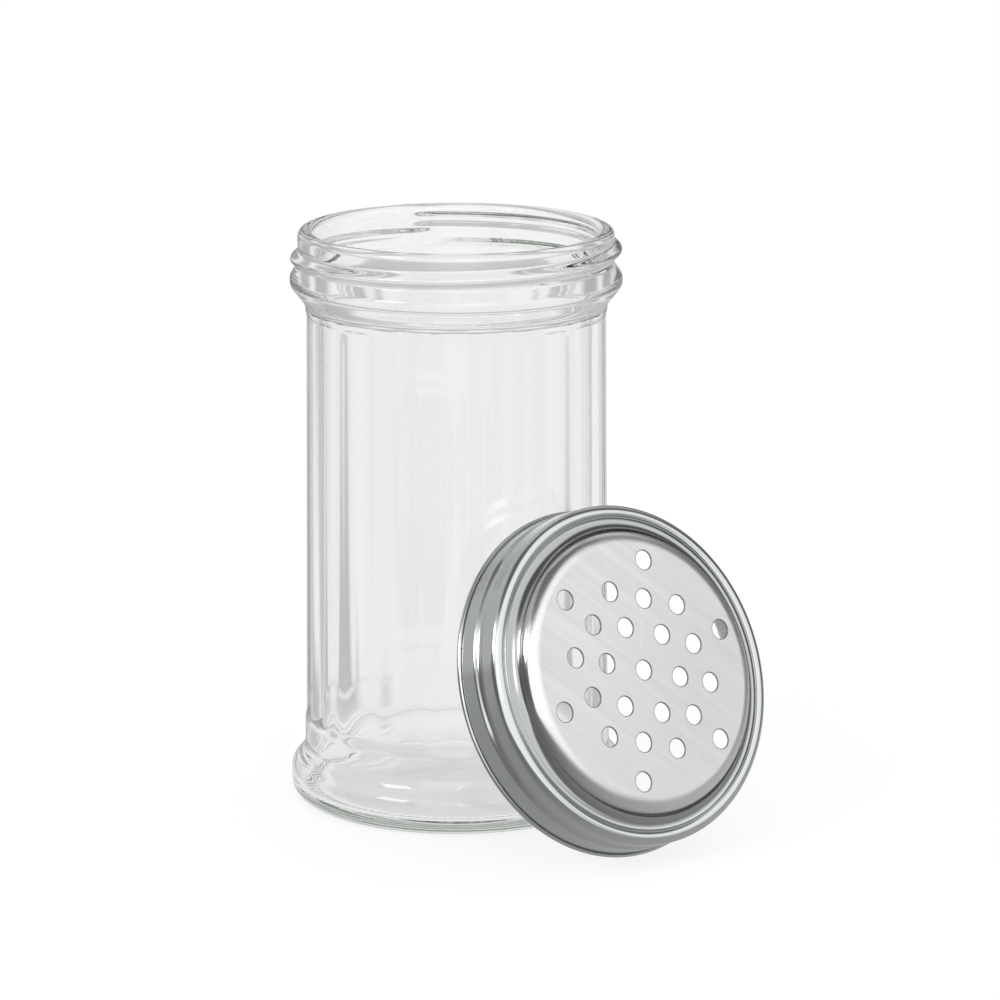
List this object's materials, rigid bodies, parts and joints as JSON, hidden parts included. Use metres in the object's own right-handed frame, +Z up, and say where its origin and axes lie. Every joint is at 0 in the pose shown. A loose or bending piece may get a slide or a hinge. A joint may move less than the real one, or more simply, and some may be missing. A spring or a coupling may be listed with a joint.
{
  "type": "spice shaker",
  "caption": "Panelled glass shaker jar with a foot bulge, a transfer bead and a screw neck; its perforated steel screw lid is off and leans against it.",
  "frame": {"origin": "centre of the jar's bearing ring, on the surface that the jar and the lid's rim stand on", "axes": "+Z up along the jar's axis and out of its mouth; -Y is the side that is looked at; the lid leans at +X -Y"},
  "size_m": [0.1076, 0.1114, 0.132],
  "materials": {
    "clear_glass": "clear pressed glass, faintly grey-green in the thick parts, fire polished",
    "lid_steel": "stainless sheet, plate brushed one way, skirt and crown bright"
  },
  "bodies": {
    "jar": {"glass_jar": "clear_glass"},
    "lid": {"perforated_lid": "lid_steel"}
  },
  "joints": [
    {"name": "lid_off", "type": "slide", "parent": "jar", "child": "lid", "axis": [0.5939, -0.7077, 0.3827], "range_m": [0, 0.07]}
  ]
}
